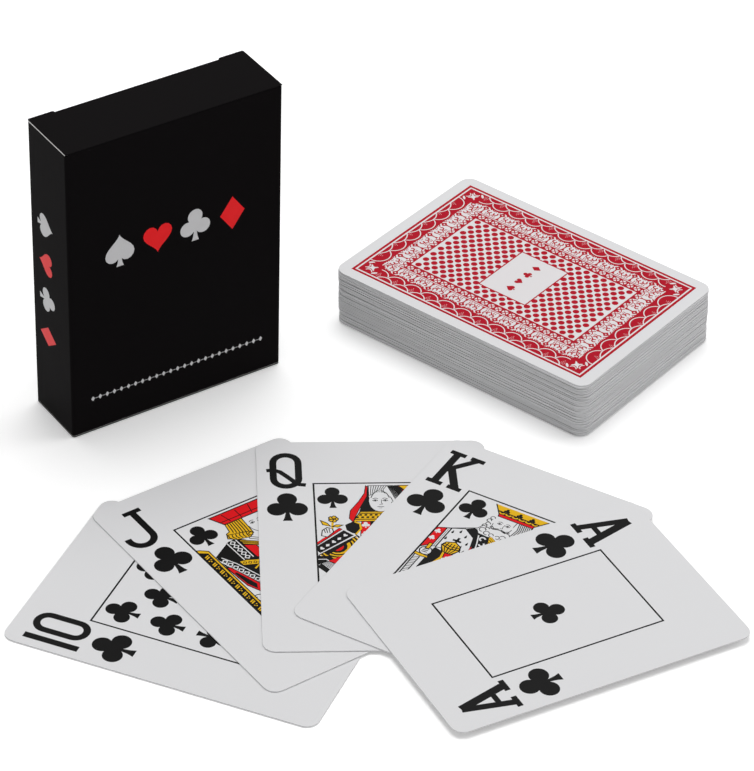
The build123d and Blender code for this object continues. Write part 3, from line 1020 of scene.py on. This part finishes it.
def printPanel(data, normal, right, artwork):
    # the largest face of a side is cut into the cells of its print
    normal, right = Vector(normal), Vector(right)
    facing = [face for face in data.faces if face.normal.dot(normal) > 0.999]
    panel = max(facing, key=lambda face: face.calc_area())
    depth = panel.verts[0].co.dot(normal)
    outline = [(corner.co.dot(right) / mm, corner.co.z / mm) for corner in panel.verts]
    corners, triangles = artwork.cells(outline)
    data.faces.remove(panel)
    places = [data.verts.new(right * x * mm + normal * depth + Vector((0, 0, z * mm))) for x, z in corners]
    for triangle, ink in triangles:
        cell = data.faces.new([places[index] for index in triangle])
        cell.normal_update()
        if cell.normal.dot(normal) < 0:
            cell.normal_flip()
        cell.material_index = boardSlots.index("print" if ink == "stock" else ink)
    bmesh.ops.remove_doubles(data, verts=data.verts, dist=2e-6)


def boardPiece(node, data, finishOf, prints=()):
    mesh = bpy.data.meshes.new("board_" + node)
    for face in data.faces:
        face.material_index = boardSlots.index(finishOf(face.calc_center_median() / mm, face.normal))
    for panelPrint in prints:
        printPanel(data, *panelPrint)
    data.to_mesh(mesh)
    data.free()
    for finish in boardMaterials.values():
        mesh.materials.append(finish)
    mesh.shade_smooth()
    mesh.set_sharp_from_angle(angle=radians(30))
    piece = addPiece("board_" + node, mesh, node)
    flatten = piece.modifiers.new("panels stay flat", "WEIGHTED_NORMAL")
    flatten.keep_sharp = True


lean = 0.3  # a face looks up, down or aside when its normal leans that way by more than this


def sleeveFinish(place, normal):
    wide, deep = carton["half"]
    outside = max(abs(place.x) - wide, abs(place.y) - deep) > -0.3
    if outside and abs(normal.z) < lean and (normal.x * place.x > 0.2 or normal.y * place.y > 0.2):
        return "print"
    if normal.z > lean and place.z > carton["height"] - 1.1 and place.y < deep - 2 * carton["board"]:
        return "print"  # the creases of the lid and the dust flaps
    return "raw" if normal.z > lean and place.z > carton["height"] - carton["notch"] else "inside"


def sheetFinish(place, normal):
    # the lid and the dust flaps; the lid's folded edges are printed too
    half, back = carton["tabCrease"]
    onFold = place.y < 0.85 - carton["half"][1] or place.y > back - 0.55 and abs(place.x) < half
    atFold = onFold and abs(normal.x) < lean and normal.z > -0.9 and place.z > carton["height"] - 0.4
    if normal.z > lean or atFold:
        return "print"
    return "inside" if normal.z < -lean else "raw"


def tabFinish(place, normal):
    outwards = Vector((0, place.y + carton["half"][1], place.z - carton["height"])).normalized()
    facing = normal.dot(outwards)
    if normal.z > 0.2 and abs(normal.x) < lean and facing > -lean:
        return "print"
    if abs(facing) < 2 * lean:
        return "raw"
    return "print" if facing > 0 else "inside"


def bottomFinish(place, normal):
    outside = normal.z < -lean or place.z < carton["board"] and abs(normal.z) < 0.5
    return "print" if outside else "inside"


# a row of suit signs on the front and on the left side, and a row of small diamonds near the foot
frontPrint, sidePrint = Print(), Print()
for step, suit in enumerate(signRow):
    ink = "silver" if suit in ("spades", "clubs") else "red"
    height, pitch, size = carton["signRow"]
    frontPrint.lay(ink, placed(suitSign(suit), pitch * (step - 1.5), height, size=size))
    height, pitch, size, back = carton["sideRow"]
    sidePrint.lay(ink, placed(suitSign(suit), back, height - pitch * (step - 1.5), -90, size))
height, reach = carton["rule"]
for step in range(25):
    x = reach * (step / 12 - 1)
    frontPrint.lay("silver", placed(suitSign("diamonds"), x, height, size=0.13))
    if step < 24:
        frontPrint.lay("silver", [rectangle(0.42, 0.07, x + reach / 24, height)])

wide, deep = carton["half"]
tabHalf, tabBack = carton["tabCrease"]
atTop = lambda point: point.z > carton["height"] - 0.3
frontFold = lambda point: point.y < -deep + 0.02 and atTop(point)
tabFold = lambda point: abs(point.y - tabBack) < 0.02 and atTop(point) and abs(point.x) < tabHalf - 1
boardPiece("box_sleeve", boardCopy("box_sleeve", [frontFold]), sleeveFinish,
           [((0, -1, 0), (1, 0, 0), frontPrint), ((-1, 0, 0), (0, -1, 0), sidePrint)])
boardPiece("box_bottom", boardCopy("box_bottom", []), bottomFinish)
boardPiece("lid_panel", boardCopy("lid_panel", [frontFold, tabFold]), sheetFinish)
boardPiece("tuck_tab", boardCopy("tuck_tab", [tabFold]), tabFinish)
for node in ("dust_flap_left", "dust_flap_right"):
    boardPiece(node, boardCopy(node, []), sheetFinish)


def creaseStrip(name, profile, ends, centre, along):
    # the board's own bend between two panels: a band whose outside has the given profile
    data = bmesh.new()
    rows = []
    for point in profile:
        outer = Vector(point)
        inner = outer + carton["strip"] * (Vector(centre) - outer).normalized()
        rows.append([data.verts.new(along(level, place) * mm) for level in ends for place in (outer, inner)])
    for near, far in zip(rows, rows[1:]):
        for a, b in ((0, 2), (1, 0), (3, 1), (2, 3)):
            data.faces.new([near[a], near[b], far[b], far[a]])
    for row in (rows[0], rows[-1]):
        data.faces.new([row[0], row[1], row[3], row[2]])
    bmesh.ops.recalc_face_normals(data, faces=data.faces)
    mesh = bpy.data.meshes.new(name)
    data.to_mesh(mesh)
    data.free()
    mesh.materials.append(boardMaterials["print"])
    mesh.shade_smooth()
    mesh.set_sharp_from_angle(angle=radians(50))
    strip = bpy.data.objects.new(name, mesh)
    bpy.context.scene.collection.objects.link(strip)
    start, end = [tuple(along(0, Vector(point)) * mm) for point in (profile[0], profile[-1])]
    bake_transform(strip)
    return strip


# profiles are drawn in (y, z) for the lid's two creases, and in (x, z) for the flaps'
cut, top = carton["crease"], carton["height"]
tall = (cut + carton["creaseGap"]) / cut
foldHeight = top - carton["creaseGap"] - cut
acrossFold = lambda level, point: Vector((level, point[0], point[1]))
alongFold = lambda level, point: Vector((point[0], level, point[1]))
reach = wide - 0.8
creaseStrip("crease_front", arc(-deep + cut, foldHeight, cut, 180, 90, 8, tall), (-reach, reach),
            (-deep + cut, foldHeight), acrossFold)
reach = tabHalf - 0.05
creaseStrip("crease_tab", arc(tabBack - cut, foldHeight, cut, 90, 0, 8, tall), (-reach, reach),
            (tabBack - cut, foldHeight), acrossFold)
creaseX, level, *ends = carton["flapCrease"]
for way, body in ((-1, "left_flap"), (1, "right_flap")):
    profile = [(way * (creaseX + shift), level - drop) for shift, drop in carton["flapBend"]]
    creaseStrip("crease_" + body, profile, ends, (way * (creaseX - 0.1), level - 2), alongFold)
print("carton ready")


# Camera, light and floor
view = {
    "place": (-434.6, -746.9, 644.8), "target": (51.24, -33.55, 0.0), "roll": 1.75, "lens": 178.75,
}
camera = bpy.data.objects.new("camera", bpy.data.cameras.new("camera"))
camera.data.lens = view["lens"]
camera.data.sensor_width = 36
camera.data.clip_end = 10
place, target = Vector(view["place"]) * mm, Vector(view["target"]) * mm
direction = (target - place).normalized()
camera.matrix_world = Matrix.Translation(place) @ direction.to_track_quat("-Z", "Y").to_matrix().to_4x4() \
    @ Matrix.Rotation(radians(view["roll"]), 4, "Z")
bpy.context.scene.collection.objects.link(camera)
bpy.context.scene.camera = camera

studio = {
    "floor": 0.72,
    "floorSeen": 0.98,
    "floorReach": 8,
    "floorDrop": 0.2,  # keeps it clear of the undersides
    "world": 0.40,  # strength of the light that comes from all round
    # each lamp's place, diameter in metres and watts
    "overhead": ((0.25, 0.25, 1.5), 1.1, 14.0),
    "right": ((1.2, -0.5, 0.9), 0.8, 3.2),
    "left": ((-0.7, -1.1, 0.4), 0.8, 2.4),
    "aim": (0.04, -0.03, 0.03),
    "glow": 0.2,  # lifts the floor to white where no shadow falls, for what the camera sees only
}


for name in ("overhead", "right", "left"):
    data = bpy.data.lights.new(name, "AREA")
    data.shape = "DISK"
    place, data.size, data.energy = studio[name]
    lamp = bpy.data.objects.new(name, data)
    lamp.location = place
    lamp.rotation_euler = (Vector(studio["aim"]) - Vector(place)).to_track_quat("-Z", "Y").to_euler()
    bpy.context.scene.collection.objects.link(lamp)
bpy.context.scene.view_settings.view_transform = "Standard"

# what the camera sees of the sky is white; the light that it gives keeps to its own strength
sky = Sky("studio")
sky.set(Color=(1, 1, 1, 1), Strength=studio["world"] + (1 - studio["world"]) * sky.seen())
bpy.context.scene.world = sky.world

floorFinish = Finish("floor")
seen = floorFinish.seen()
shade = lambda level: floorFinish.signal("CombineColor", {}, "Color", level, level, level)
floorFinish.set(Base_Color=shade(studio["floor"] + (studio["floorSeen"] - studio["floor"]) * seen),
                Emission_Color=shade(studio["glow"] * seen), Emission_Strength=1.0,
                Roughness=0.6 + 0.1 * floorFinish.noise(60, 3), Specular_IOR_Level=0.1)
floorMesh = bpy.data.meshes.new("floor")
floorCorners = [(x, y, 0) for x, y in rectangle(studio["floorReach"], studio["floorReach"])]
floorMesh.from_pydata(floorCorners, [], [(0, 1, 2, 3)])
floorMesh.materials.append(floorFinish.material)
ground = bpy.data.objects.new("floor", floorMesh)
ground.location.z = -studio["floorDrop"] * mm
bpy.context.scene.collection.objects.link(ground)
print("studio ready")

bpy.context.view_layer.update()
